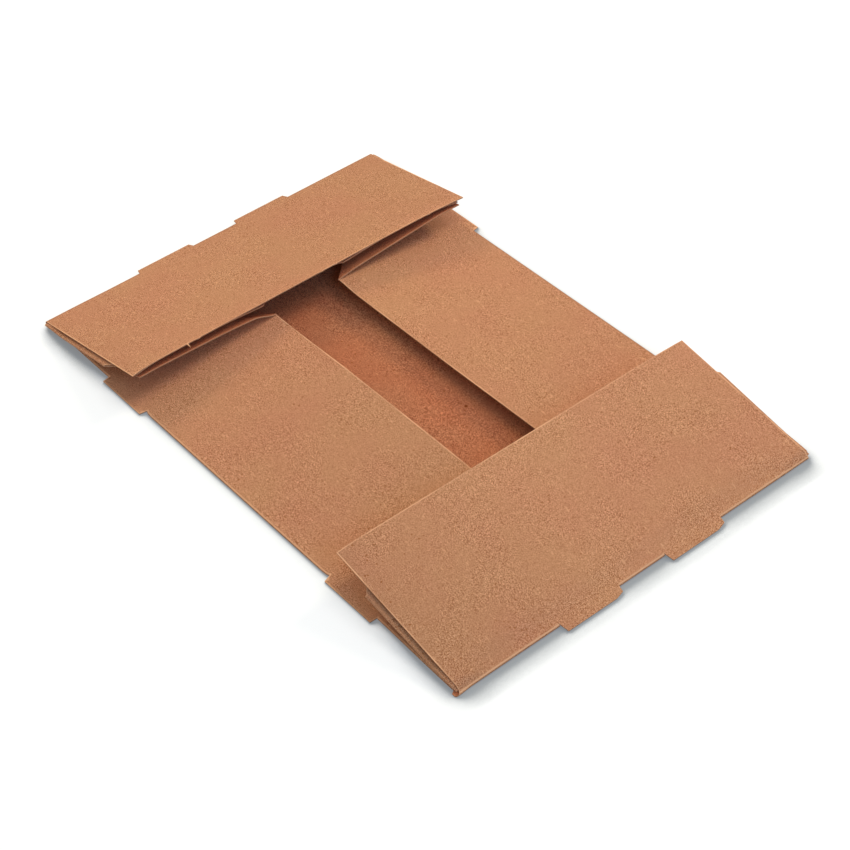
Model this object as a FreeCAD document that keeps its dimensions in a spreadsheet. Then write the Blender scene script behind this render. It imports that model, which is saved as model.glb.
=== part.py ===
"""Pop-up food tray: one die-cut paperboard blank, glued at its four corners and lying folded flat.

The long side walls fold in over the base first. Each of their ends turns back along a diagonal
crease into a web, turns again along a seam into a glue flap, and the flap is glued inside the end
wall, which folds in on top. The creases spring a little, so every wall stands open by an angle:
the four creases of a corner meet at one point, so the end walls' angle settles all the others.

Millimetres. The origin is under the middle of the base, +X along the tray, +Z up.
One corner is modelled, at -X and -Y, and mirrored twice.
"""
import FreeCAD, Part
import os

import Sketcher

SIZES = {
    "tray_length": 219.1,        # over the two end folds
    "base_width": 137.2,         # over the two long folds
    "end_wall_depth": 56.9,      # end fold to free edge
    "side_wall_depth": 55.9,     # long fold to free edge
    "board": 0.35,               # thickness of the paperboard
    "crease_radius": 0.03,       # inside radius of a tight crease
    "open_angle": 13.2,          # end wall above the base, degrees
    "edge_out": 1.0,             # end wall's side edge stands this far outside the long fold
    "edge_taper": 1.0,           # and comes in by this much towards its free edge
    "seam_out": 2.0,             # web-to-flap seam stands this far outside the long fold
    "seam_length": 41.0,         # the seam's end, from the end fold
    "corner_relief": 1.6,        # board cut away where the four creases meet
    "web_corner": 0.5,           # the web's rim starts this far inside the long fold
    "flap_length": 57.0,         # long fold to the flap's inner end
    "flap_rim_gap": 0.8,         # flap held back from the end wall's free edge
    "flap_lean": 4.0,            # how far the flap's lower edge leans away from the end fold
    "flap_corner": 5.0,          # clipped corner at the flap's inner end
    "tab_length": 22.8,          # tabs that stand out past the folds
    "tab_reach": 2.4,
    "tab_slope": 0.75,           # each sloped end of a tab comes in by this much
    "end_tab_place": 20.5,       # middle of the tray to the middle of an end tab
    "side_tab_place": 49.2,      # end fold to the middle of a side tab
}

# Worked out from the sizes. "Vertex" is the point, in the middle of the base's thickness, where
# the end crease, the long crease, the diagonal crease and the seam meet. A "lift" is the distance
# of a panel's middle plane from the vertex, square to that panel.
WORKED = {
    "side_angle": "asin(tan(Sizes.open_angle / 2))",
    "web_angle": "acos(cos(Sizes.open_angle) * cos(side_angle)^2 - sin(side_angle)^2)",
    "bend": "Sizes.crease_radius + Sizes.board / 2",
    "bulge": "Sizes.crease_radius + Sizes.board",
    "side_lift": "bend * (1 + cos(side_angle))",
    "web_lift": "bend + (side_lift + bend) * cos(web_angle)",
    "web_shift": "(side_lift + bend) * sin(web_angle) * sqrt(2)",
    "flap_lift": "bend + (web_lift + bend + Sizes.seam_out * sin(side_angle)) / cos(side_angle)",
    "end_lift": "flap_lift + Sizes.board",
    "end_bend": "end_lift / (1 + cos(Sizes.open_angle))",
    "end_bulge": "end_bend + Sizes.board / 2",
    "vertex_x": "end_bulge - Sizes.tray_length / 2",
    "vertex_y": "bulge - Sizes.base_width / 2",
    "side_root": "bend * sin(side_angle)",
    "end_root": "end_bend * sin(Sizes.open_angle)",
    "side_rim": "Sizes.side_wall_depth - bulge",
    "end_rim": "Sizes.end_wall_depth - end_bulge",
    "seam_end": "Sizes.seam_length - end_bulge",
    "web_seam": "-Sizes.seam_out * cos(side_angle) - (flap_lift - bend) * sin(side_angle)",
    "web_rim": "side_rim + web_shift / 2",
    "end_edge": "-(Sizes.edge_out + bulge)",
    "side_tab_middle": "Sizes.side_tab_place - end_bulge",
    "end_tab_middle": "-vertex_y - Sizes.end_tab_place",
    "side_tab_tip": "Sizes.tab_reach + bulge",
    "end_tab_tip": "Sizes.tab_reach + end_bulge",
    "side_notch": "side_tab_tip - bend * pi * (1 - side_angle / 180)",
    "end_notch": "end_tab_tip - end_bend * pi * (1 - Sizes.open_angle / 180)",
    "window_height": "4 * end_bulge",
}

TOWARDS_VERTEX = 225             # heading of the diagonal crease in the side wall, rim to vertex
ALONG_END = -90                  # heading of the end crease in the base, middle to corner

# Frames of the panels and folds, each a chain from the vertex outwards.
AT_VERTEX = "placement(vector(Fold.vertex_x; Fold.vertex_y; Sizes.board / 2); rotation(0; 0; 0))"


def move(x, y, z):
    """Expression for a shift inside a frame."""
    return f"placement(vector({x}; {y}; {z}); rotation(0; 0; 0))"


def turn(axis, angle):
    """Expression for a turn about one axis of a frame, in degrees."""
    direction = {"X": "1; 0; 0", "Y": "0; 1; 0", "Z": "0; 0; 1"}[axis]
    return f"placement(vector(0; 0; 0); rotation(vector({direction}); {angle}))"


def chain(*steps):
    """Expression for one placement made of several, the outermost first."""
    return " * ".join(steps)


ALONG_SIDE_WALL = chain(AT_VERTEX, turn("X", "Fold.side_angle"))
ALONG_END_WALL = chain(AT_VERTEX, turn("Y", "-Sizes.open_angle"))
ALONG_WEB = chain(ALONG_END_WALL, turn("X", "-Fold.side_angle"))


def make_sizes(doc):
    """The sheet of driving dimensions and the set of values worked out from them."""
    sheet = doc.addObject("Spreadsheet::Sheet", "Sizes")
    for row, (name, value) in enumerate(SIZES.items(), start=1):
        sheet.set(f"A{row}", name)
        sheet.set(f"B{row}", str(value))
        sheet.setAlias(f"B{row}", name)
    doc.recompute()
    worked = doc.addObject("App::VarSet", "Fold")
    for name, formula in WORKED.items():
        worked.addProperty("App::PropertyFloat", name, "Fold")
        worked.setExpression(name, formula)
    doc.recompute()


def origin_plane(body, role):
    """One of a body's own origin planes."""
    return next(item for item in body.Origin.OriginFeatures if item.Role == role)


def outline(body, name, corners, plane="XY_Plane"):
    """A closed sketch whose corners are pairs of expressions, each bound by a constraint."""
    sketch = body.newObject("Sketcher::SketchObject", name)
    sketch.AttachmentSupport = [(origin_plane(body, plane), "")]
    sketch.MapMode = "FlatFace"
    places = [[float(sketch.evalExpression(text)) for text in corner] for corner in corners]
    last = len(corners) - 1
    for index, (x, y) in enumerate(places):
        next_x, next_y = places[0 if index == last else index + 1]
        start = FreeCAD.Vector(x, y, 0)
        end = FreeCAD.Vector(next_x, next_y, 0)
        sketch.addGeometry(Part.LineSegment(start, end))
    for index in range(len(corners)):
        following = 0 if index == last else index + 1
        sketch.addConstraint(Sketcher.Constraint("Coincident", index, 2, following, 1))
    for index, corner in enumerate(corners):
        for kind, text, value in zip(("DistanceX", "DistanceY"), corner, places[index]):
            constraint = Sketcher.Constraint(kind, -1, 1, index, 1, value)
            number = sketch.addConstraint(constraint)
            sketch.setExpression(f"Constraints[{number}]", text)
    return sketch


def panel(doc, name, corners, frame):
    """A flat panel of board whose middle plane is the frame's XY plane."""
    body = doc.addObject("PartDesign::Body", name)
    sheet = body.newObject("PartDesign::Pad", f"{name}_sheet")
    sheet.Profile = outline(body, f"{name}_outline", corners)
    sheet.Midplane = True
    sheet.setExpression("Length", "Sizes.board")
    body.Tip = sheet
    body.setExpression("Placement", frame)
    return body


def fold(doc, name, start, end, outer_radius, opening, frame):
    """The bent board of a crease along the frame's X axis.

    It leaves the lower panel under the axis, goes round by -Y and stops where the upper panel
    starts, which stands open by the given angle.
    """
    body = doc.addObject("PartDesign::Body", name)
    section = [
        (start, f"-({outer_radius})"),
        (end, f"-({outer_radius})"),
        (end, f"Sizes.board - ({outer_radius})"),
        (start, f"Sizes.board - ({outer_radius})"),
    ]
    profile = outline(body, f"{name}_section", section, plane="XZ_Plane")
    bent = body.newObject("PartDesign::Revolution", f"{name}_bend")
    bent.Profile = profile
    bent.ReferenceAxis = (profile, ["H_Axis"])
    bent.Reversed = True
    bent.setExpression("Angle", f"180 - {opening}")
    body.Tip = bent
    body.setExpression("Placement", frame)
    return body


def fuse(doc, name, shapes):
    """One solid from several objects, without the seams between them."""
    whole = doc.addObject("Part::MultiFuse", name)
    whole.Shapes = shapes
    whole.Refine = True
    return whole


def tab_window(doc, name, corners):
    """What the die cuts out of a fold and the base behind it, to free one tab.

    It is centred on the base and twice as tall as the end fold, so it passes either kind of fold.
    """
    body = doc.addObject("PartDesign::Body", name)
    cut = body.newObject("PartDesign::Pad", f"{name}_depth")
    cut.Profile = outline(body, f"{name}_outline", corners)
    cut.Midplane = True
    cut.setExpression("Length", "Fold.window_height")
    body.Tip = cut
    body.setExpression("Placement", AT_VERTEX)
    return body


def make_floor(doc):
    """The base with its two kinds of fold, cut open behind the tabs."""
    middle_x = "-Fold.vertex_x"
    middle_y = "-Fold.vertex_y"
    base = panel(doc, "base", [
        ("0", "Fold.end_edge"),
        ("Sizes.corner_relief", "Fold.end_edge"),
        ("Sizes.corner_relief", "0"),
        (middle_x, "0"),
        (middle_x, middle_y),
        ("0", middle_y),
    ], AT_VERTEX)
    long_fold = fold(doc, "long_fold", "Sizes.corner_relief", middle_x,
                     "Fold.bulge", "Fold.side_angle",
                     chain(AT_VERTEX, move(0, 0, "Fold.bend")))
    end_fold = fold(doc, "end_fold", "Fold.vertex_y", "-Fold.end_edge",
                    "Fold.end_bulge", "Sizes.open_angle",
                    chain(AT_VERTEX, move(0, 0, "Fold.end_bend"), turn("Z", ALONG_END)))
    floor = fuse(doc, "floor", [base, long_fold, end_fold])

    half_tab = "Sizes.tab_length / 2"
    side_window = tab_window(doc, "side_tab_window", [
        (f"Fold.side_tab_middle - {half_tab}", "-Fold.side_tab_tip"),
        (f"Fold.side_tab_middle + {half_tab}", "-Fold.side_tab_tip"),
        (f"Fold.side_tab_middle + {half_tab}", "0"),
        (f"Fold.side_tab_middle + {half_tab} - Sizes.tab_slope", "Fold.side_notch"),
        (f"Fold.side_tab_middle - {half_tab}", "Fold.side_notch"),
    ])
    end_window = tab_window(doc, "end_tab_window", [
        ("-Fold.end_tab_tip", f"Fold.end_tab_middle - {half_tab}"),
        ("0", f"Fold.end_tab_middle - {half_tab}"),
        ("Fold.end_notch", f"Fold.end_tab_middle - {half_tab} + Sizes.tab_slope"),
        ("Fold.end_notch", f"Fold.end_tab_middle + {half_tab} - Sizes.tab_slope"),
        ("0", f"Fold.end_tab_middle + {half_tab}"),
        ("-Fold.end_tab_tip", f"Fold.end_tab_middle + {half_tab}"),
    ])
    windows = fuse(doc, "tab_windows", [side_window, end_window])
    open_floor = doc.addObject("Part::Cut", "open_floor")
    open_floor.Base = floor
    open_floor.Tool = windows
    return open_floor


def make_side_wall(doc):
    """Half of a long wall: square at the middle, ending on the diagonal crease at the corner."""
    middle_x = "-Fold.vertex_x"
    half_tab = "Sizes.tab_length / 2"
    return panel(doc, "side_wall", [
        ("Sizes.corner_relief", "Fold.side_root"),
        (f"Fold.side_tab_middle - {half_tab}", "Fold.side_root"),
        (f"Fold.side_tab_middle - {half_tab}", "-Fold.side_tab_tip"),
        (f"Fold.side_tab_middle + {half_tab} - Sizes.tab_slope", "-Fold.side_tab_tip"),
        (f"Fold.side_tab_middle + {half_tab}", "Fold.side_root"),
        (middle_x, "Fold.side_root"),
        (middle_x, "Fold.side_rim"),
        ("Fold.side_rim", "Fold.side_rim"),
        ("Sizes.corner_relief", "Sizes.corner_relief"),
    ], chain(ALONG_SIDE_WALL, move(0, 0, "Fold.side_lift")))


def make_end_wall(doc):
    """Half of an end wall, with one tab and a slightly tapered side edge."""
    middle_y = "-Fold.vertex_y"
    half_tab = "Sizes.tab_length / 2"
    return panel(doc, "end_wall", [
        ("Fold.end_root", "Fold.end_edge"),
        ("Fold.end_rim", "Fold.end_edge + Sizes.edge_taper"),
        ("Fold.end_rim", middle_y),
        ("Fold.end_root", middle_y),
        ("Fold.end_root", f"Fold.end_tab_middle + {half_tab}"),
        ("-Fold.end_tab_tip", f"Fold.end_tab_middle + {half_tab} - Sizes.tab_slope"),
        ("-Fold.end_tab_tip", f"Fold.end_tab_middle - {half_tab} + Sizes.tab_slope"),
        ("Fold.end_root", f"Fold.end_tab_middle - {half_tab}"),
    ], chain(ALONG_END_WALL, move(0, 0, "Fold.end_lift")))


def make_corner(doc):
    """The glued corner: diagonal fold, web, seam and glue flap."""
    diagonal_fold = fold(doc, "diagonal_fold",
                         "-sqrt(2) * Fold.side_rim", "-sqrt(2) * Sizes.corner_relief",
                         "Fold.bulge", "Fold.web_angle",
                         chain(ALONG_SIDE_WALL, move(0, 0, "Fold.side_lift + Fold.bend"),
                               turn("Z", TOWARDS_VERTEX)))
    web = panel(doc, "web", [
        ("Sizes.corner_relief", "Fold.web_seam"),
        ("Fold.seam_end", "Fold.web_seam"),
        ("Fold.web_rim", "Sizes.web_corner - Fold.bulge"),
        ("Fold.web_rim", "Fold.web_rim - Fold.web_shift"),
        ("Sizes.corner_relief + Fold.web_shift / 2", "Sizes.corner_relief - Fold.web_shift / 2"),
    ], chain(ALONG_WEB, move(0, 0, "Fold.web_lift")))
    seam = fold(doc, "seam", "Sizes.corner_relief", "Fold.seam_end",
                "Fold.bulge", "Fold.side_angle",
                chain(ALONG_END_WALL, move(0, "-Sizes.seam_out", "Fold.flap_lift - Fold.bend"),
                      turn("X", "-Fold.side_angle")))
    flap_rim = "Fold.end_rim - Sizes.flap_rim_gap"
    flap_end = "Sizes.flap_length - Fold.bulge"
    flap = panel(doc, "flap", [
        ("Sizes.corner_relief", "-Sizes.seam_out"),
        ("Fold.seam_end", "-Sizes.seam_out"),
        (flap_rim, "Sizes.web_corner - Fold.bulge"),
        (flap_rim, f"{flap_end} - Sizes.flap_corner"),
        (f"{flap_rim} - Sizes.flap_corner", flap_end),
        ("Sizes.corner_relief + Sizes.flap_lean", flap_end),
    ], chain(ALONG_END_WALL, move(0, 0, "Fold.flap_lift")))
    return [diagonal_fold, web, seam, flap]


def mirrored_pair(doc, name, source, normal):
    """A shape fused with its mirror image in a plane through the origin."""
    image = doc.addObject("Part::Mirroring", f"{name}_image")
    image.Source = source
    image.Normal = FreeCAD.Vector(*normal)
    return fuse(doc, name, [source, image])


def make_tray(doc):
    """The whole folded blank as one solid."""
    pieces = [make_floor(doc), make_side_wall(doc), make_end_wall(doc)] + make_corner(doc)
    quarter = fuse(doc, "quarter", pieces)
    side = mirrored_pair(doc, "side_half", quarter, (1, 0, 0))
    tray = mirrored_pair(doc, "folded_tray", side, (0, 1, 0))
    tray.Label = "folded_tray"
    return tray


def check(doc, parts):
    """Stop before anything is written if an object failed or a shape is unusable."""
    for item in doc.Objects:
        if "Invalid" in item.State or "Error" in item.State:
            raise RuntimeError(f"{item.Name} did not recompute: {item.State}")
    for item in parts:
        if item.Shape.isNull() or not item.Shape.isValid():
            raise RuntimeError(f"{item.Label} has no valid shape")
        if len(item.Shape.Solids) != 1:
            raise RuntimeError(f"{item.Label} is {len(item.Shape.Solids)} solids, not one")


def main():
    doc = FreeCAD.newDocument("food_tray")
    make_sizes(doc)
    parts = [make_tray(doc)]
    doc.recompute()
    check(doc, parts)
    os.makedirs("parts", exist_ok=True)
    for item in parts:
        item.Shape.exportStep(f"parts/{item.Label}.step")


main()
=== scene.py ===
"""Looks of the pop-up food tray: one folded kraft blank, a pale floor, soft light, a camera."""

import functools
import math

import bpy
import numpy as np
from mathutils import Matrix, Vector
from mathutils.geometry import delaunay_2d_cdt


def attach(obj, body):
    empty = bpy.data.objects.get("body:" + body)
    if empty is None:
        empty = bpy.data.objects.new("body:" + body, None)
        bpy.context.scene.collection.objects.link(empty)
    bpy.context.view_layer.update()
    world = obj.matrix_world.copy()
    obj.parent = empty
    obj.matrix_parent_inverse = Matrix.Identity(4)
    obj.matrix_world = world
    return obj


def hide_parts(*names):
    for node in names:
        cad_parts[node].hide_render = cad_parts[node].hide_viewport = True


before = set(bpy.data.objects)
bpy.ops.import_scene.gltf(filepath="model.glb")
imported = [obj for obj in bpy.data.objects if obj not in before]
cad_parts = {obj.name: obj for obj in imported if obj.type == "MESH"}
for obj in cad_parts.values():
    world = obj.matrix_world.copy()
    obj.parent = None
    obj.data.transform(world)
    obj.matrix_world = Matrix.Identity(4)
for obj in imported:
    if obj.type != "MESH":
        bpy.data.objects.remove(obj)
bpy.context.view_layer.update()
MM = 0.001

# ---------------------------------------------------------------- sizes of the blank, in mm
TRAY_LENGTH = 219.1
BASE_WIDTH = 137.2
END_WALL_DEPTH = 56.9
SIDE_WALL_DEPTH = 55.9
BOARD = 0.35                     # thickness
CREASE_RADIUS = 0.03             # inside radius of a fold
OPEN_ANGLE = math.radians(13.2)  # end walls above the base
EDGE_OUT = 1.0                   # how far an end wall passes the side fold at its own fold
EDGE_TAPER = 1.0                 # how much of that is gone at its free edge
SEAM_OUT = 2.0                   # how far the seam of a web and its flap passes the side fold
SEAM_LENGTH = 41.0
CORNER_RELIEF = 1.6              # cut-out where the creases of a corner meet
SEAM_START = 0.45                # the glued pack reaches almost to the end fold
PACK_IN = 1.6                    # past the seam a web and its flap are cut back to here,
PACK_RUN = 4.5                   # on a slant of this length along the seam
FLAP_LENGTH = 57.0
FLAP_RIM_GAP = 0.8               # between a flap's edge and its end wall's free edge
FLAP_LEAN = 4.0
FLAP_CORNER = 5.0                # cut off a flap's inner corner
TAB_LENGTH = 22.8
TAB_REACH = 2.4                  # how far a tab stands out past the bend of its fold
TAB_SLOPE = 0.75                 # slant of a tab's ends
END_TAB_PLACE = 20.5             # middle of a tab, from the tray's middle line
SIDE_TAB_PLACE = 49.2            # middle of a tab, from the end of the tray
GLUE = 0.015                     # film between a flap and the end wall over it
AIR = 0.045                      # more room there, so that two bent faces stay apart
SEAM_AIR = 0.06                  # room inside the fold of a seam

# Worked out as the folds demand. A "lift" is a panel's middle plane above the corner's vertex,
# a "root" is where a wall's flat part starts, a "rim" where it ends and a "tip" a tab's end.
SIDE_ANGLE = math.asin(math.tan(OPEN_ANGLE / 2))
WEB_ANGLE = math.acos(math.cos(OPEN_ANGLE) * math.cos(SIDE_ANGLE) ** 2
                      - math.sin(SIDE_ANGLE) ** 2)
BEND = CREASE_RADIUS + BOARD / 2
BULGE = CREASE_RADIUS + BOARD
SIDE_LIFT = BEND * (1 + math.cos(SIDE_ANGLE))
WEB_LIFT = BEND + (SIDE_LIFT + BEND) * math.cos(WEB_ANGLE)
WEB_SHIFT = (SIDE_LIFT + BEND) * math.sin(WEB_ANGLE) * math.sqrt(2)
FLAP_LIFT = BEND + (WEB_LIFT + BEND + SEAM_OUT * math.sin(SIDE_ANGLE)) / math.cos(SIDE_ANGLE)
END_LIFT = FLAP_LIFT + BOARD
END_BEND = END_LIFT / (1 + math.cos(OPEN_ANGLE))
END_BULGE = END_BEND + BOARD / 2
VERTEX_X = END_BULGE - TRAY_LENGTH / 2
VERTEX_Y = BULGE - BASE_WIDTH / 2
SIDE_ROOT = BEND * math.sin(SIDE_ANGLE)
END_ROOT = END_BEND * math.sin(OPEN_ANGLE)
SIDE_RIM = SIDE_WALL_DEPTH - BULGE
END_RIM = END_WALL_DEPTH - END_BULGE
SEAM_END = SEAM_LENGTH - END_BULGE
WEB_SEAM = -SEAM_OUT * math.cos(SIDE_ANGLE) - (FLAP_LIFT - BEND) * math.sin(SIDE_ANGLE)
WEB_RIM = SIDE_RIM + WEB_SHIFT / 2
END_EDGE = -(EDGE_OUT + BULGE)
SIDE_TAB = SIDE_TAB_PLACE - END_BULGE
END_TAB = -VERTEX_Y - END_TAB_PLACE
SIDE_TIP = TAB_REACH + BULGE
END_TIP = TAB_REACH + END_BULGE
SIDE_NOTCH = SIDE_TIP - BEND * (math.pi - SIDE_ANGLE)
END_NOTCH = END_TIP - END_BEND * (math.pi - OPEN_ANGLE)
HALF_TAB = TAB_LENGTH / 2
MIDDLE_X = -VERTEX_X
MIDDLE_Y = -VERTEX_Y

STEP = 2.2                       # spacing of the mesh over the panels
ROW = 0.87                       # and of its rows, in steps, each half a step beside the last
EDGE_BAND = 0.4                  # width of the pale line along a cut edge
END_TURNS = 12                   # steps in which the mesh goes round an end fold
TURNS = 9                        # and round any other fold
PALEST = 1.6                     # most that a fold's painted highlight counts
# Torn nicks along the far end wall's free edge: where each starts, its width and its reach.
NICKS = ((-47.6, 0.7, 1.6), (-44.6, 2.6, 0.5), (6.5, 1.4, 0.6), (12.2, 1.6, 0.6), (52.1, 2.0, 0.5))


# ---------------------------------------------------------------- how the board really lies
def smooth(value, low, high):
    """0 below low, 1 above high, and an S between them."""
    t = np.clip((value - low) / (high - low), 0.0, 1.0)
    return t * t * (3 - 2 * t)


def end_angle(y, far):
    """The end walls' opening along Y: held down by the glued corners, sprung up between them."""
    if far:
        corner, spring, left, right = 10.56, 0.98, 18.0, 6.0
    else:
        corner, spring, left, right = 12.76, 0.82, 18.0, 8.0
    share = np.clip(np.abs(y) / (BASE_WIDTH / 2), 0.0, 1.0)
    return np.radians(corner + spring * (1 - np.where(y < 0, share ** left, share ** right)))


def side_angle(x, left):
    """The side walls' opening along X. X is negative towards the far end."""
    if left:
        far_corner, middle, near_corner = 6.1, 7.2, 7.0
        angle = far_corner + (middle - far_corner) * smooth(x, -46, -10)
        angle = angle + (near_corner - middle) * smooth(x, 20, 50)
    else:
        far_corner, middle, near_corner = 6.5, 5.7, 6.2
        angle = far_corner + (middle - far_corner) * smooth(x, -54, -42)
        angle = angle + (near_corner - middle) * smooth(x, 0, 54)
    return np.radians(angle)


class Corner:
    """One glued corner of the tray, worked out at -X, -Y and then mirrored to its own place.

    A panel's method takes its flat points, p[:, 0] from the end fold and p[:, 1] from the long
    fold, and gives the places of its middle surface in the frame, in mm.
    """

    def __init__(self, far, left):
        self.far, self.left = far, left
        self.mx = 1.0 if far else -1.0
        self.my = 1.0 if left else -1.0
        self.alpha = float(end_angle(self.my * VERTEX_Y, far))
        self.beta = float(side_angle(self.mx * VERTEX_X, left))
        self.place_web()

    def out(self, x, y, z):
        """Mirror worked out places to this corner."""
        points = np.stack(np.broadcast_arrays(self.mx * x, self.my * y, z), -1)
        return points.astype(float)

    def flare(self, p):
        """The left long fold stands a little out between its tabs and at its near corner."""
        if not self.left:
            return 0.0
        past_tab = SIDE_TAB + HALF_TAB
        reach = 0.55 * smooth(p[:, 0], past_tab - 0.5, past_tab + 2.0)
        if not self.far:
            reach = reach + 0.8 * (1 - smooth(p[:, 0], 0, 44))
        return -reach * (1 - smooth(p[:, 1], 0.2, 3.0))

    def stand_out(self, p):
        """The end folds stand a little out too: the far one at its left corner, the near one
        all along but at its right."""
        y = self.my * (VERTEX_Y + p[:, 1])
        reach = 0.2 * (1 - (smooth(y, -62, -40) if self.far else smooth(y, 20, 35)))
        return reach * (1 - smooth(p[:, 0], 0, 3))

    def base(self, p):
        x = VERTEX_X + p[:, 0] - self.stand_out(p)
        return self.out(x, VERTEX_Y + p[:, 1] + self.flare(p), BOARD / 2)

    def side(self, p):
        x = VERTEX_X + p[:, 0]
        b = side_angle(self.mx * x, self.left)
        y = VERTEX_Y + p[:, 1] * np.cos(b) - SIDE_LIFT * np.sin(b) + self.flare(p)
        z = BOARD / 2 + p[:, 1] * np.sin(b) + SIDE_LIFT * np.cos(b)
        return self.out(x, y, z)

    def end(self, p, lift=END_LIFT + AIR):
        y = VERTEX_Y + p[:, 1]
        a = end_angle(self.my * y, self.far)
        # The tip of the longest nick hangs down, and the others curl up a little.
        torn = np.maximum(p[:, 0] - END_RIM, 0)
        hanging = torn > 0.8
        lift = lift + np.where(hanging, -0.5 * torn, 0.25 * torn)
        if not self.far:
            # The near fold is pressed flatter: over 8 mm between its corners, and at them.
            middle = smooth(-np.abs(y), -67.0, -56.0)
            lift = lift - 0.8 * middle * (1 - smooth(p[:, 0], 0.0, 8.0))
            lift = lift - 1.0 * (1 - middle) * (1 - smooth(p[:, 0], 0.0, CORNER_RELIEF))
        y = y + self.askew(p)
        x = VERTEX_X + p[:, 0] * np.cos(a) - lift * np.sin(a) - self.stand_out(p)
        z = BOARD / 2 + p[:, 0] * np.sin(a) + lift * np.cos(a)
        return self.out(x, y, z)

    def askew(self, p):
        """The near wall's left corner is glued a little askew, inwards at its fold."""
        if self.far or not self.left:
            return 0.0
        return 0.9 * (1 - p[:, 0] / END_RIM) * (1 - smooth(p[:, 1], END_EDGE, 30))

    def droop(self, p):
        """How far the seam side of a flap hangs below the end wall that it is glued to."""
        depth = 0.7 if self.far == self.left else 1.0
        return depth * smooth(p[:, 0], 1.6, 12) * (1 - smooth(p[:, 1], -SEAM_OUT, 12))

    def flap(self, p):
        """Glued under the end wall, and sagging at its free inner corner."""
        sag = 1.2 * smooth(p[:, 1], 30, FLAP_LENGTH) * smooth(p[:, 0], 15, END_RIM)
        return self.end(p, FLAP_LIFT - GLUE - sag - self.droop(p))

    def place_web(self):
        """The web lies between the diagonal crease of the side wall and the seam of the flap.
        web_map takes its flat points (x, y, 1) to places before the corner is mirrored."""
        a, b = self.alpha, self.beta
        along_side = np.array([[1, 0, 0], [0, math.cos(b), -math.sin(b)], [0, math.sin(b), math.cos(b)]])
        along_end = np.array([[math.cos(a), 0, -math.sin(a)], [0, 1, 0], [math.sin(a), 0, math.cos(a)]])
        vertex = np.array([VERTEX_X, VERTEX_Y, BOARD / 2])
        diagonal = along_side @ np.array([1, 1, 0]) / math.sqrt(2)
        seam = along_end @ np.array([1, 0, 0])
        normal = np.cross(seam, diagonal)
        normal /= np.linalg.norm(normal)

        def on_diagonal(reach):
            return vertex + along_side @ np.array([reach, reach, SIDE_LIFT + BEND]) + BEND * normal

        def on_seam(reach):
            under_flap = np.array([reach, -SEAM_OUT, FLAP_LIFT - GLUE - BEND])
            return vertex + along_end @ under_flap - (BEND + SEAM_AIR) * normal

        flat = np.array([[WEB_RIM, WEB_RIM - WEB_SHIFT, 1],
                         [CORNER_RELIEF + WEB_SHIFT / 2, CORNER_RELIEF - WEB_SHIFT / 2, 1],
                         [SEAM_END, WEB_SEAM, 1]])
        space = np.array([on_diagonal(SIDE_RIM), on_diagonal(CORNER_RELIEF), on_seam(SEAM_END)])
        self.web_map = np.linalg.solve(flat, space)

    def web(self, p):
        """The plane that place_web found, arched between diagonal and seam."""
        q = np.column_stack([p, np.ones(len(p))]) @ self.web_map
        share = np.clip(p[:, 1] / np.maximum(p[:, 0] - WEB_SHIFT, 0.1), 0.0, 1.0)
        top = 0.85
        arch = np.sin(math.pi / 2 * np.minimum(share / top, 1.0)) ** 2 * (1 - smooth(share, top, 1.0))
        height = 2.0 if self.far and self.left else 0.4
        rise = height * arch * (p[:, 0] / WEB_RIM) ** 2
        by_seam = 1 - smooth(share, 0.3, 0.9)
        sink = self.droop(p) * by_seam
        x = q[:, 0] + sink * math.sin(self.alpha)
        z = q[:, 2] + rise - sink * math.cos(self.alpha)
        return self.out(x, q[:, 1] + self.askew(p) * by_seam, z)


# ---------------------------------------------------------------- flat outlines and their meshes
def run(a, b):
    """Points from a to b, a in and b left out, close to one step apart and closer at each end."""
    a, b = np.array(a, float), np.array(b, float)
    length = np.linalg.norm(b - a)
    if length < 3 * EDGE_BAND:
        share = np.zeros(1)
    elif length < 8 * EDGE_BAND:
        share = np.array([0.0, EDGE_BAND / length, 1 - EDGE_BAND / length])
    else:
        end, inner = EDGE_BAND / length, 3 * EDGE_BAND / length
        count = max(1, math.ceil(length * (1 - 2 * inner) / STEP - 1e-9))
        share = np.concatenate([[0.0, end], np.linspace(inner, 1 - inner, count + 1), [1 - end]])
    return a + (b - a) * share[:, None]


def ring(corners):
    """A closed outline through the corners, divided in steps."""
    following = corners[1:] + corners[:1]
    return np.concatenate([run(a, b) for a, b in zip(corners, following)])


def inside(outline, points):
    """Which points lie inside a closed outline."""
    x, y = points[:, 0][:, None], points[:, 1][:, None]
    a, b = outline, np.roll(outline, -1, axis=0)
    crosses = (a[:, 1] > y) != (b[:, 1] > y)
    rise = np.where(b[:, 1] == a[:, 1], 1.0, b[:, 1] - a[:, 1])
    at = a[:, 0] + (y - a[:, 1]) * (b[:, 0] - a[:, 0]) / rise
    return (crosses & (x < at)).sum(1) % 2 == 1


def clear_of(outline, points, gap):
    """Which points lie further than a gap from a closed outline."""
    a, b = outline, np.roll(outline, -1, axis=0)
    d = b - a
    t = ((points[:, None] - a) * d).sum(2) / (d * d).sum(1)
    near = a + np.clip(t, 0, 1)[..., None] * d
    return np.linalg.norm(points[:, None] - near, axis=2).min(1) > gap


def inset(outline, reach):
    """Points a little way inside the outline, which carry the pale line along a cut edge."""
    ahead = np.roll(outline, -1, axis=0) - outline
    ahead /= np.linalg.norm(ahead, axis=1)[:, None]
    behind = np.roll(ahead, 1, axis=0)
    x, y = outline.T
    area = (x * np.roll(y, -1) - y * np.roll(x, -1)).sum()
    side = 1.0 if area > 0 else -1.0
    inward = side * np.stack([-(ahead + behind)[:, 1], (ahead + behind)[:, 0]], 1)
    inward /= 1 + (ahead * behind).sum(1)[:, None]
    points = outline + reach * inward
    return points[clear_of(outline, points, 0.9 * reach) & inside(outline, points)]


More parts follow.
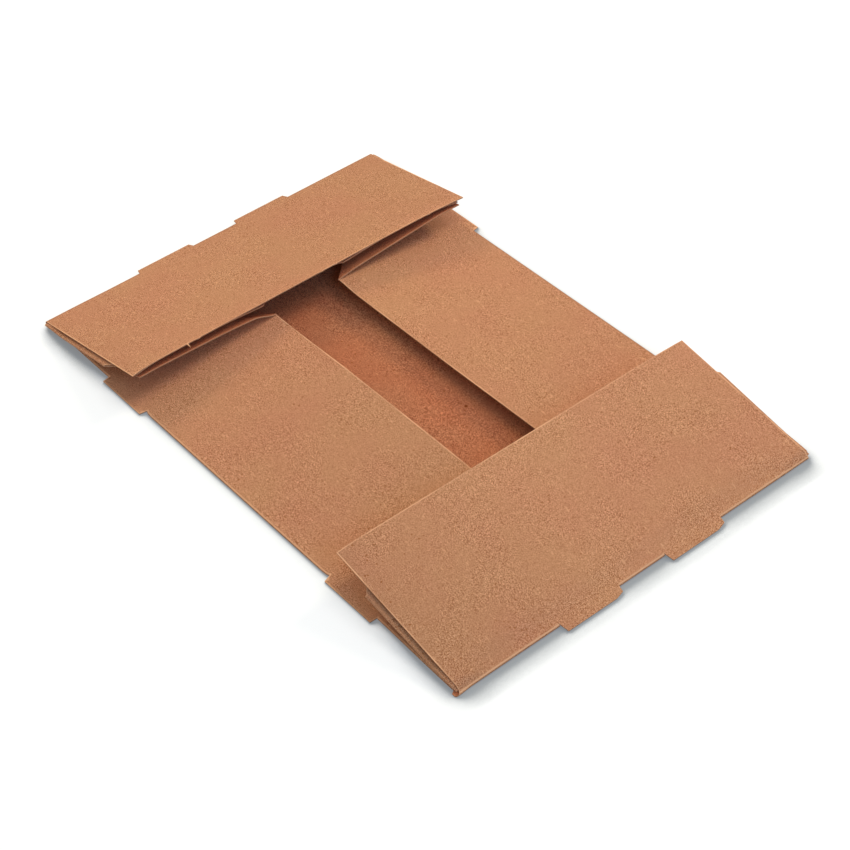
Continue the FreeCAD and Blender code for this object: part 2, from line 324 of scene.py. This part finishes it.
@functools.lru_cache(maxsize=None)
def fill(corners):
    """Flat triangle mesh inside an outline: its points and its triangles. Corners of the tray
    that share an outline share its mesh."""
    outline = ring(corners)
    low, high = outline.min(0), outline.max(0)
    rows = int((high[1] - low[1]) / (STEP * ROW)) + 2
    columns = int((high[0] - low[0]) / STEP) + 2
    grid = np.array([(low[0] + (c + 0.5 * (r % 2)) * STEP, low[1] + r * STEP * ROW)
                     for r in range(rows) for c in range(columns)])
    grid = grid[inside(outline, grid)]
    grid = grid[clear_of(outline, grid, 4.5 * EDGE_BAND)]
    bands = np.concatenate([inset(outline, EDGE_BAND), inset(outline, 3 * EDGE_BAND)])
    apart = np.linalg.norm(bands[:, None] - bands, axis=2)
    too_near, inside_only = 0.1, 1
    bands = bands[~np.triu(apart < too_near, 1).any(0)]
    points = [Vector(p) for p in np.concatenate([outline, bands, grid])]
    border = [(i, (i + 1) % len(outline)) for i in range(len(outline))]
    points, _, faces, *_ = delaunay_2d_cdt(points, border, [], inside_only, 1e-7)
    return np.array([tuple(p) for p in points]), faces


def outlines(corner):
    """Flat outlines of one corner's panels, each in its own panel's coordinates."""
    tab_in, tab_out = SIDE_TAB - HALF_TAB, SIDE_TAB + HALF_TAB
    end_in, end_out = END_TAB - HALF_TAB, END_TAB + HALF_TAB
    # The base's near-left corner is slanted, and the others are cut square.
    relief = CORNER_RELIEF * (0.5 if corner.left and not corner.far else 1.0)
    base = [(0, END_EDGE), (relief, END_EDGE), (CORNER_RELIEF, 0),
            (tab_in, 0), (tab_in, SIDE_NOTCH), (tab_out - TAB_SLOPE, SIDE_NOTCH), (tab_out, 0),
            (MIDDLE_X, 0), (MIDDLE_X, MIDDLE_Y), (0, MIDDLE_Y),
            (0, end_out), (END_NOTCH, end_out - TAB_SLOPE), (END_NOTCH, end_in + TAB_SLOPE),
            (0, end_in)]
    tab_lean = 0.3
    side = [(CORNER_RELIEF, SIDE_ROOT), (tab_in, SIDE_ROOT), (tab_in + tab_lean, -SIDE_TIP),
            (tab_out - TAB_SLOPE, -SIDE_TIP), (tab_out, SIDE_ROOT), (MIDDLE_X, SIDE_ROOT),
            (MIDDLE_X, SIDE_RIM), (SIDE_RIM, SIDE_RIM), (CORNER_RELIEF, CORNER_RELIEF)]
    torn = []
    for start, width, reach in NICKS:
        if corner.far and start * corner.my < 0:
            tip = start + 0.8 * width
            shape = [(END_RIM, start), (END_RIM + reach, tip), (END_RIM, start + width)]
            shape = [(x, MIDDLE_Y + corner.my * y) for x, y in shape]
            torn += shape if corner.left else shape[::-1]
    torn.sort(key=lambda point: point[1])
    # Tabs of the far end are shorter, and those of the near end have one corner cut off.
    tab = [(-END_TIP, end_out - TAB_SLOPE), (-END_TIP, end_in + TAB_SLOPE)]
    cut_back, cut_from, cut_to = 0.8, 0.5, 3.4
    if corner.far:
        shorter = 1.0 if corner.left else 0.7
        tab = [(x + shorter, y) for x, y in tab]
    elif corner.left:
        tab[:1] = [(cut_back - END_TIP, end_out - cut_from), (-END_TIP, end_out - cut_to)]
    else:
        tab[1:] = [(-END_TIP, end_in + cut_to), (cut_back - END_TIP, end_in + cut_from)]
    end = [(END_ROOT, END_EDGE), (END_RIM, END_EDGE + EDGE_TAPER), *torn, (END_RIM, MIDDLE_Y),
           (END_ROOT, MIDDLE_Y), (END_ROOT, end_out), *tab, (END_ROOT, end_in)]
    web = [(SEAM_START, WEB_SEAM), (SEAM_END, WEB_SEAM), (SEAM_END + PACK_RUN, PACK_IN),
           (WEB_RIM, PACK_IN), (WEB_RIM, WEB_RIM - WEB_SHIFT),
           (CORNER_RELIEF + WEB_SHIFT / 2, CORNER_RELIEF - WEB_SHIFT / 2)]
    rim = END_RIM - FLAP_RIM_GAP
    inner = FLAP_LENGTH - BULGE
    flap = [(SEAM_START, -SEAM_OUT), (SEAM_END, -SEAM_OUT), (SEAM_END + PACK_RUN, PACK_IN),
            (rim, PACK_IN), (rim, inner - FLAP_CORNER), (rim - FLAP_CORNER, inner),
            (CORNER_RELIEF + FLAP_LEAN, inner)]
    return {"base": base, "side": side, "end": end, "web": web, "flap": flap}


def creases():
    """Folds of one corner: two panels, where the crease starts and ends on each, its opening,
    the flat direction in which both panels leave towards the fold, and the fold's turns."""
    tab_in, tab_out = SIDE_TAB - HALF_TAB, SIDE_TAB + HALF_TAB
    end_in, end_out = END_TAB - HALF_TAB, END_TAB + HALF_TAB
    long_fold = [((a, 0), (b, 0), (a, SIDE_ROOT), (b, SIDE_ROOT))
                 for a, b in ((CORNER_RELIEF, tab_in), (tab_out, MIDDLE_X))]
    end_fold = [((0, a), (0, b), (END_ROOT, a), (END_ROOT, b))
                for a, b in ((END_EDGE, end_in), (end_out, MIDDLE_Y))]
    slant = 1 / math.sqrt(2)
    diagonal = ((SIDE_RIM, SIDE_RIM), (CORNER_RELIEF, CORNER_RELIEF),
                (WEB_RIM, WEB_RIM - WEB_SHIFT),
                (CORNER_RELIEF + WEB_SHIFT / 2, CORNER_RELIEF - WEB_SHIFT / 2))
    seam = ((SEAM_START, WEB_SEAM), (SEAM_END, WEB_SEAM),
            (SEAM_START, -SEAM_OUT), (SEAM_END, -SEAM_OUT))
    found = [("base", "side", *c, SIDE_ANGLE, (0, -1), TURNS) for c in long_fold]
    found += [("base", "end", *c, OPEN_ANGLE, (-1, 0), END_TURNS) for c in end_fold]
    found.append(("side", "web", *diagonal, WEB_ANGLE, (-slant, slant), TURNS))
    found.append(("web", "flap", *seam, SIDE_ANGLE, (0, -1), TURNS))
    return found


# Which panels lie with the board's inner face up.
UP = {"base": True, "side": False, "end": False, "web": True, "flap": False}


class Sheet:
    """Points and faces of the board's middle surface, gathered panel by panel."""

    def __init__(self):
        self.points, self.faces, self.bent, self.count = [], [], [], 0

    def add(self, points, faces, flip, bent=0.0):
        """Points with their faces, turned over if flip says so. The last argument is the highlight and
        shade painted on a fold.
        """
        self.bent.append(np.zeros(len(points)) + bent)
        for face in faces:
            face = [self.count + i for i in face]
            self.faces.append(face[::-1] if flip else face)
        self.points.append(points)
        self.count += len(points)


def add_panel(sheet, corner, name, corners):
    """One flat outline, meshed and laid in its place. The inner face looks along the normals."""
    flat, faces = fill(tuple(corners))
    flip = (corner.mx * corner.my < 0) == UP[name]
    sheet.add(getattr(corner, name)(flat), faces, flip)


def painted_fold_light(corner, upper, way):
    """Painted highlight (above 0, partly also a crease's paler fibres) and painted shade (below 0) that
    the board gets on its way round a fold.
    """
    if (upper == "end" and corner.far) or (upper == "side" and not corner.left):
        return -0.75 * np.exp(-((way - 1.0) / 0.4) ** 2)
    if upper == "end":
        return 1.6 * np.exp(-((way - 0.8) / 0.12) ** 2) - np.exp(-((way - 0.3) / 0.22) ** 2)
    if upper == "side":
        return 1.3 * np.exp(-((way - 0.97) / 0.16) ** 2) - 0.9 * np.exp(-((way - 0.35) / 0.25) ** 2)
    return 0.6 * np.exp(-((way - 0.5) / 0.12) ** 2)


def add_fold(sheet, corner, lower, upper, a0, a1, b0, b1, opening, leave, turns):
    """The curved strip of a crease, from the edge of one panel round to the edge of the other.
    Across the fold it is a cubic curve whose handles make it round."""
    first = np.concatenate([run(a0, a1), [a1]])
    share = (np.linalg.norm(first - first[0], axis=1) / np.linalg.norm(first[-1] - first[0]))[:, None]
    second = np.array(b0) + (np.array(b1) - np.array(b0)) * share
    first = np.array(a0) + (np.array(a1) - np.array(a0)) * share
    nudge = 0.01
    place_a, place_b = getattr(corner, lower), getattr(corner, upper)
    start, end = place_a(first), place_b(second)
    go_a = place_a(first + nudge * np.array(leave)) - start
    go_b = place_b(second + nudge * np.array(leave)) - end
    go_a /= np.linalg.norm(go_a, axis=1)[:, None]
    go_b /= np.linalg.norm(go_b, axis=1)[:, None]
    apart = np.linalg.norm(end - start, axis=1)[:, None]
    handle = 2 / 3 * math.tan((math.pi - opening) / 4) / math.cos(opening / 2) * apart
    t = np.linspace(0, 1, turns + 1)[:, None, None]
    curve = ((1 - t) ** 3 * start + 3 * (1 - t) ** 2 * t * (start + handle * go_a)
             + 3 * (1 - t) * t ** 2 * (end + handle * go_b) + t ** 3 * end)
    count = len(first)
    faces = [(j * count + i, j * count + i + 1, (j + 1) * count + i + 1, (j + 1) * count + i)
             for j in range(turns) for i in range(count - 1)]
    points = curve.reshape(-1, 3)
    p = points[list(faces[0])]
    normal = np.cross(p[1] - p[0], p[3] - p[0])
    # Painted highlight and painted shade across the fold.
    bent = np.repeat(painted_fold_light(corner, upper, np.linspace(0, 1, turns + 1)), count)
    sheet.add(points, faces, (normal[2] > 0) != UP[lower], bent)


def thicken(sheet, name, materials):
    """A closed board from the middle surface: both faces and the cut edge all round."""
    # Points that meet where two panels or folds join become one.
    points = np.concatenate(sheet.points)
    _, first, where = np.unique(np.round(points, 3), axis=0, return_index=True,
                                return_inverse=True)
    where = where.reshape(-1)
    points = points[first]
    # The painted highlight and shade of the folds, summed where folds meet.
    bent = np.zeros(len(points))
    np.add.at(bent, where, np.concatenate(sheet.bent))
    bent = np.clip(bent, -1, PALEST)
    faces = []
    for face in sheet.faces:
        new = [int(where[i]) for i in face]
        new = [v for i, v in enumerate(new) if v != new[i - 1]]
        if len(set(new)) > 2:
            faces.append(new)

    # Both faces lie half a board from the middle surface, along normals averaged by area.
    normals = np.zeros_like(points)
    for face in faces:
        p = points[face]
        for i in range(1, len(face) - 1):
            n = np.cross(p[i] - p[0], p[i + 1] - p[0])
            for v in face:
                normals[v] += n
    normals /= np.linalg.norm(normals, axis=1)[:, None]
    inner = points + normals * BOARD / 2
    outer = points - normals * BOARD / 2
    total = len(points)

    # A side that only one face has is the board's rim, and gets a strip of cut edge.
    sides = {}
    for face in faces:
        for a, b in zip(face, face[1:] + face[:1]):
            sides.setdefault((min(a, b), max(a, b)), []).append((a, b))
    rims = [ways[0] for ways in sides.values() if len(ways) == 1]
    solid = faces + [[v + total for v in reversed(f)] for f in faces]
    solid += [[b, a, a + total, b + total] for a, b in rims]
    kinds = [0] * len(faces) + [1] * len(faces) + [2] * len(rims)     # which of the materials
    mesh = bpy.data.meshes.new(name)
    mesh.from_pydata((np.concatenate([inner, outer]) * MM).tolist(), [], solid)
    for material in materials:
        mesh.materials.append(material)
    mesh.polygons.foreach_set("material_index", kinds)
    mesh.polygons.foreach_set("use_smooth", [k < 2 for k in kinds])
    mesh.update()

    # The cut edge is sharp and carries the pale line, but for the notches along the end folds.
    sharp = set()
    for a, b in rims:
        sharp.add((min(a, b), max(a, b)))
        sharp.add((min(a, b) + total, max(a, b) + total))
    for edge in mesh.edges:
        a, b = sorted(edge.vertices)
        edge.use_edge_sharp = (a, b) in sharp or b - a == total
    cut = np.zeros(2 * total)
    cut[list({v for edge in sharp for v in edge})] = 1.0
    place = np.abs(np.concatenate([points, points]))
    by_end_fold, clear_of_corners = TRAY_LENGTH / 2 - 4, 60
    cut[(place[:, 0] > by_end_fold) & (place[:, 1] < clear_of_corners)] = 0.0
    # cut carries the pale line of worn cut edges; the other attribute carries the folds' painted
    # highlight and shade.
    for key, value in (("cut", cut), ("bent", np.concatenate([bent, bent]))):
        layer = mesh.attributes.new(key, "FLOAT", "POINT")
        layer.data.foreach_set("value", value.astype(np.float32))
    piece = bpy.data.objects.new(name, mesh)
    bpy.context.scene.collection.objects.link(piece)
    return piece


def make_tray(materials):
    """The whole tray as one closed mesh, which rides on the part's one body."""
    sheet = Sheet()
    for far in (True, False):
        for left in (True, False):
            corner = Corner(far, left)
            for name, corners in outlines(corner).items():
                add_panel(sheet, corner, name, corners)
            for crease in creases():
                add_fold(sheet, corner, *crease)
    tray = thicken(sheet, "tray_board", materials)
    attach(tray, "root")
    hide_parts("folded_tray")


# ---------------------------------------------------------------- materials
class Nodes:
    """A node tree, with short calls for the few kinds of node that the looks need.

    place is the point shaded, in metres in the frame.
    """

    def __init__(self, tree, shader):
        self.tree = tree
        self.shader = tree.nodes[shader]
        self.place = tree.nodes.new("ShaderNodeTexCoord").outputs["Object"]

    def add(self, kind, inputs, **settings):
        """One node. An input is another node's socket or a plain value."""
        node = self.tree.nodes.new(kind)
        for key, value in settings.items():
            setattr(node, key, value)
        for key, value in inputs.items():
            if isinstance(value, bpy.types.NodeSocket):
                self.tree.links.new(value, node.inputs[key])
            else:
                node.inputs[key].default_value = value
        return node

    def noise(self, size, detail=2.0, rough=0.5, shift=0.0, stretch=(1, 1, 1), turn=0.0):
        """Noise whose blobs are about this size in mm, around 0.5."""
        place = self.add("ShaderNodeMapping", {
            "Vector": self.place, "Scale": stretch, "Rotation": (0, 0, math.radians(turn)),
            "Location": (shift, shift * 0.7, -shift)}).outputs["Vector"]
        return self.add("ShaderNodeTexNoise", {
            "Vector": place, "Scale": 1 / (size * MM), "Detail": detail,
            "Roughness": rough}).outputs["Fac"]

    def spread(self, value, low, high, to_low=0.0, to_high=1.0, kind="LINEAR"):
        """The range from low to high drawn out to another, and held at its ends."""
        return self.add("ShaderNodeMapRange", {
            "Value": value, "From Min": low, "From Max": high, "To Min": to_low,
            "To Max": to_high}, interpolation_type=kind).outputs["Result"]

    def math(self, kind, a, b):
        """One step of arithmetic, such as ADD."""
        return self.add("ShaderNodeMath", {0: a, 1: b}, operation=kind).outputs[0]

    def mix(self, share, a, b, blend="MIX"):
        """Colour a with this share of colour b."""
        node = self.add("ShaderNodeMix", {0: share}, data_type="RGBA", blend_type=blend)
        for key, value in ((6, a), (7, b)):
            if isinstance(value, bpy.types.NodeSocket):
                self.tree.links.new(value, node.inputs[key])
            else:
                node.inputs[key].default_value = (*value, 1)
        return node.outputs[2]

    def looked_at(self):
        """1 for rays that show a surface, straight, in a gloss or through glass, and else 0."""
        path = self.tree.nodes.new("ShaderNodeLightPath").outputs
        seen = self.math("MAXIMUM", path["Is Camera Ray"], path["Is Glossy Ray"])
        return self.math("MAXIMUM", seen, path["Is Transmission Ray"])


def new_material(name):
    """A material with a node tree, and the short calls for that tree."""
    material = bpy.data.materials.new(name)
    material.use_nodes = True
    return material, Nodes(material.node_tree, "Principled BSDF")


WHITE = (1, 1, 1)


def tint(color, gain):
    """A colour made lighter or darker as kraft is: the blue moves most and the red least."""
    return tuple(c * (1 + gain * share) for c, share in zip(color, (0.72, 1.0, 1.38)))


def slow_tone(n):
    """A slow change of tone over the walls: each wall is paler at one end or edge than the other.
    Side walls lie between X = -0.05 and 0.05, end walls beyond them."""
    place = n.add("ShaderNodeSeparateXYZ", {0: n.place}).outputs
    tone = n.spread(place["X"], -0.05, 0.05, 1.04, 0.96)
    on_near = n.spread(place["X"], 0.052, 0.055)
    rise = n.math("ADD", n.spread(place["X"], 0.056, 0.105, 0.08, 0.02),
                  n.spread(place["Y"], -0.068, -0.01, -0.10, 0.02))
    tone = n.math("ADD", tone, n.math("MULTIPLY", on_near, rise))
    on_far = n.spread(place["X"], -0.055, -0.058)
    fall = n.spread(place["Y"], -0.03, 0.068, -0.05, -0.10)
    return n.math("ADD", tone, n.math("MULTIPLY", on_far, fall))


def grain_of(n):
    """Fine kraft grain, in patches where it shows more and less, around 0.5."""
    fine = n.noise(0.25, 2.0, 0.8, 0.11)
    flakes = n.add("ShaderNodeTexVoronoi", {"Vector": n.place, "Scale": 1 / (0.34 * MM)},
                   feature="F1").outputs["Color"]
    speckle = n.math("ADD", n.math("MULTIPLY", fine, 0.85),
                     n.math("MULTIPLY", n.spread(flakes, 0.0, 1.0, 0.36, 0.64), 0.15))
    speckle = n.math("SUBTRACT", n.spread(speckle, 0.36, 0.64), 0.5)
    coarse = n.spread(n.noise(15, 2.0, 0.5, 0.23), 0.40, 0.60, 0.6, 1.35)
    return n.math("ADD", n.math("MULTIPLY", speckle, coarse), 0.5)


def pits_of(n, specks):
    """Small dark pits, crowded in some places and missing in others."""
    crowd = n.spread(n.noise(11, 2.0, 0.5, 0.47), 0.42, 0.68, 0.0, 1.0)
    cells = n.add("ShaderNodeTexVoronoi", {"Vector": n.place, "Scale": 1 / (1.9 * MM)},
                  feature="F1").outputs["Distance"]
    pit = n.spread(cells, 0.09, 0.20, 1.0, 0.0, "SMOOTHSTEP")
    return n.math("MULTIPLY", pit, n.math("MULTIPLY", crowd, specks))


def threads_of(n):
    """Stretched fibres in three directions."""
    threads = None
    for turn, shift in ((25, 0.61), (80, 0.83), (140, 1.07)):
        thread = n.spread(n.noise(0.9, 1.0, 0.4, shift, (0.32, 1.25, 1), turn), 0.70, 0.80)
        threads = thread if threads is None else n.math("MAXIMUM", threads, thread)
    return threads


def kraft(name, warm, tan, grain, specks, fibres, rough, edge, specks_and_painted_light=(), slow=False):
    """Unbleached board: slow warm and tan patches, fine grain, sparse dark pits, pale fibres.
    Spots on the base: x, y and size in mm, and how much paler they are. They serve for specks and for
    painted light."""
    material, n = new_material(name)
    patches = n.spread(n.noise(34, 3.0, 0.55), 0.36, 0.64)
    color = n.mix(patches, warm, tan)
    clouds = n.spread(n.noise(9, 3.0, 0.6, 0.3), 0.3, 0.7)
    color = n.mix(1.0, color, n.mix(clouds, tint(WHITE, -0.014), tint(WHITE, 0.014)), "MULTIPLY")
    if slow:
        color = n.mix(1.0, color, slow_tone(n), "MULTIPLY")
    speckle = grain_of(n)
    color = n.mix(1.0, color, n.mix(speckle, tint(WHITE, -grain), tint(WHITE, grain)), "MULTIPLY")
    pit = pits_of(n, specks)
    color = n.mix(pit, color, tint(warm, -0.55))
    threads = threads_of(n)
    color = n.mix(n.math("MULTIPLY", threads, fibres), color, tint(tan, 0.5))
    for x, y, size, gain in specks_and_painted_light:
        apart = n.add("ShaderNodeVectorMath", {0: n.place, 1: (x * MM, y * MM, BOARD * MM)},
                      operation="DISTANCE").outputs["Value"]
        spot = n.spread(apart, 0.5 * size * MM, size * MM, 1.0, 0.0, "SMOOTHSTEP")
        color = n.mix(spot, color, tint(warm, gain))

    # Cut edges are pale where worn, and folds get the painted highlight and painted shade that the mesh
    # carries.
    cut = n.add("ShaderNodeAttribute", {}, attribute_name="cut").outputs["Fac"]
    bent = n.add("ShaderNodeAttribute", {}, attribute_name="bent").outputs["Fac"]
    worn = n.spread(n.noise(14, 2.0, 0.5, 0.71), 0.38, 0.62, 0.3, 1.0)
    pale = n.math("MULTIPLY", n.spread(cut, 0.0, 0.4), n.math("MULTIPLY", worn, edge))
    # Paler for worn cut edges and for the painted highlight on folds, then darker for the painted shade
    # on folds.
    color = n.mix(n.math("MAXIMUM", pale, n.math("MULTIPLY", bent, 0.62)), color, tint(tan, 0.85))
    color = n.mix(n.math("MULTIPLY", bent, -0.6), color, tint(warm, -0.6))
    n.tree.links.new(color, n.shader.inputs["Base Color"])

    height = n.math("SUBTRACT", n.math("ADD", speckle, n.math("MULTIPLY", threads, 0.6)), pit)
    bump = n.add("ShaderNodeBump", {"Strength": 0.35, "Distance": 0.00006, "Height": height})
    n.tree.links.new(bump.outputs["Normal"], n.shader.inputs["Normal"])
    n.tree.links.new(n.spread(speckle, 0, 1, rough + 0.08, rough - 0.08), n.shader.inputs["Roughness"])
    n.shader.inputs["Specular IOR Level"].default_value = 0.3
    return material


def make_krafts():
    """The blank's redder inner face, its tan outer face, and its cut edge, in that order."""
    return [
        kraft("kraft_inner", (0.50, 0.150, 0.057), (0.50, 0.174, 0.069), grain=0.90, specks=1.6,
              fibres=0.8, rough=0.8, edge=0.8,
              # The first two spots are specks; the last is painted light, a paler patch at the near-left
              # corner where it lies in shade.
              specks_and_painted_light=((19.2, 8.3, 0.75, -0.75), (16.5, 0.6, 0.6, 0.6), (108.5, -69.5, 3.5, 0.25))),
        kraft("kraft_outer", (0.560, 0.232, 0.112), (0.560, 0.252, 0.115), grain=0.80, specks=1.2,
              fibres=0.8, rough=0.75, edge=1.0, slow=True),
        kraft("kraft_cut", (0.50, 0.24, 0.13), (0.54, 0.27, 0.15), grain=0.4, specks=0.3,
              fibres=0.3, rough=0.85, edge=0.0)]


# ---------------------------------------------------------------- stage
def make_camera():
    """A long lens at the photograph's angle. It stands distance mm back from the origin, and
    off that line by the two small lengths. Its view is as wide as field at a distance of 1."""
    azimuth, elevation, roll = (math.radians(a) for a in (-54.502, 42.481, -5.070))
    distance, across, up_by = 681.69, 5.427, -11.431
    field = 0.85 / 2.119
    ahead = Vector((math.sin(azimuth) * math.cos(elevation),
                    math.cos(azimuth) * math.cos(elevation), -math.sin(elevation)))
    level = Vector((math.cos(azimuth), -math.sin(azimuth), 0))
    above = level.cross(ahead)
    right = math.cos(roll) * level + math.sin(roll) * above
    up = -math.sin(roll) * level + math.cos(roll) * above
    place = (right * across + up * up_by - ahead * distance) * MM
    data = bpy.data.cameras.new("camera")
    data.lens = data.sensor_width / field
    data.clip_start, data.clip_end = 0.01, 20
    camera = bpy.data.objects.new("camera", data)
    axes = Matrix((right, up, -ahead)).transposed().to_4x4()
    camera.matrix_world = Matrix.Translation(place) @ axes
    bpy.context.scene.collection.objects.link(camera)
    bpy.context.scene.camera = camera


def lamp(name, azimuth, elevation, size, strength, color):
    """A round soft box that looks at the tray from this direction, in degrees. Its strength is
    how bright it makes a white surface that faces it."""
    reach = 2.0
    a, e = math.radians(azimuth), math.radians(elevation)
    away = Vector((math.cos(a) * math.cos(e), math.sin(a) * math.cos(e), math.sin(e)))
    away.normalize()
    data = bpy.data.lights.new(name, "AREA")
    data.shape = "DISK"
    data.size = size
    data.energy = strength * (math.pi * reach) ** 2
    data.color = color
    light = bpy.data.objects.new(name, data)
    light.location = away * reach
    light.rotation_euler = away.to_track_quat("Z", "Y").to_euler()
    bpy.context.scene.collection.objects.link(light)


def make_floor():
    """One large triangle, a hair under the tray. Where it is looked at it shows nearly white,
    and darkens close to the tray by how much of the tray stands around it, more on the near
    side, as the contact shadow on a white table does. To all other rays it is plain grey."""
    mesh = bpy.data.meshes.new("floor")
    low = -0.02 * MM
    mesh.from_pydata([(-6, -3, low), (6, -3, low), (0, 9, low)], [], [(0, 1, 2)])
    floor = bpy.data.objects.new("floor", mesh)
    bpy.context.scene.collection.objects.link(floor)
    material, n = new_material("floor_white")
    n.shader.inputs["Roughness"].default_value = 1.0
    n.shader.inputs["Specular IOR Level"].default_value = 0.0
    towards = n.add("ShaderNodeCombineXYZ", {"X": -0.98, "Y": 0.16, "Z": 0.10}).outputs["Vector"]
    open_to_sky = n.add("ShaderNodeAmbientOcclusion", {"Distance": 9 * MM, "Normal": towards},
                        samples=32).outputs["AO"]
    seen = n.mix(n.spread(open_to_sky, 0.76, 0.965), (0.37, 0.385, 0.40), (1.08, 1.08, 1.08))
    looked_at = n.looked_at()
    apart = n.add("ShaderNodeVectorMath", {0: n.place}, operation="LENGTH").outputs["Value"]
    glow = n.spread(apart, 0.25, 0.8, 0.5, 1.0)
    lit = n.mix(1.0, seen, (0.54, 0.54, 0.54), "MULTIPLY")
    n.tree.links.new(n.mix(looked_at, (0.45, 0.45, 0.45), lit), n.shader.inputs["Base Color"])
    n.tree.links.new(seen, n.shader.inputs["Emission Color"])
    n.tree.links.new(n.math("MULTIPLY", looked_at, glow), n.shader.inputs["Emission Strength"])
    mesh.materials.append(material)


def make_light():
    """A grey sky, white where it is looked at, and four lamps."""
    world = bpy.data.worlds.new("studio")
    bpy.context.scene.world = world
    world.use_nodes = True
    n = Nodes(world.node_tree, "Background")
    sky = n.mix(n.looked_at(), (0.516, 0.534, 0.516), WHITE)
    n.tree.links.new(sky, n.shader.inputs["Color"])
    lamp("key_right", 90, 34, 0.5, 0.29, (1.0, 0.92, 0.64))
    lamp("key_back", 175, 33, 0.5, 0.235, (1.0, 0.82, 0.46))
    lamp("key_top", 60, 60, 0.8, 0.14, (1.0, 0.90, 0.95))
    lamp("fill_near", 350, 36, 0.8, 0.18, (0.08, 0.5, 1.0))


make_tray(make_krafts())
make_camera()
make_floor()
make_light()
bpy.context.scene.view_settings.view_transform = "Standard"
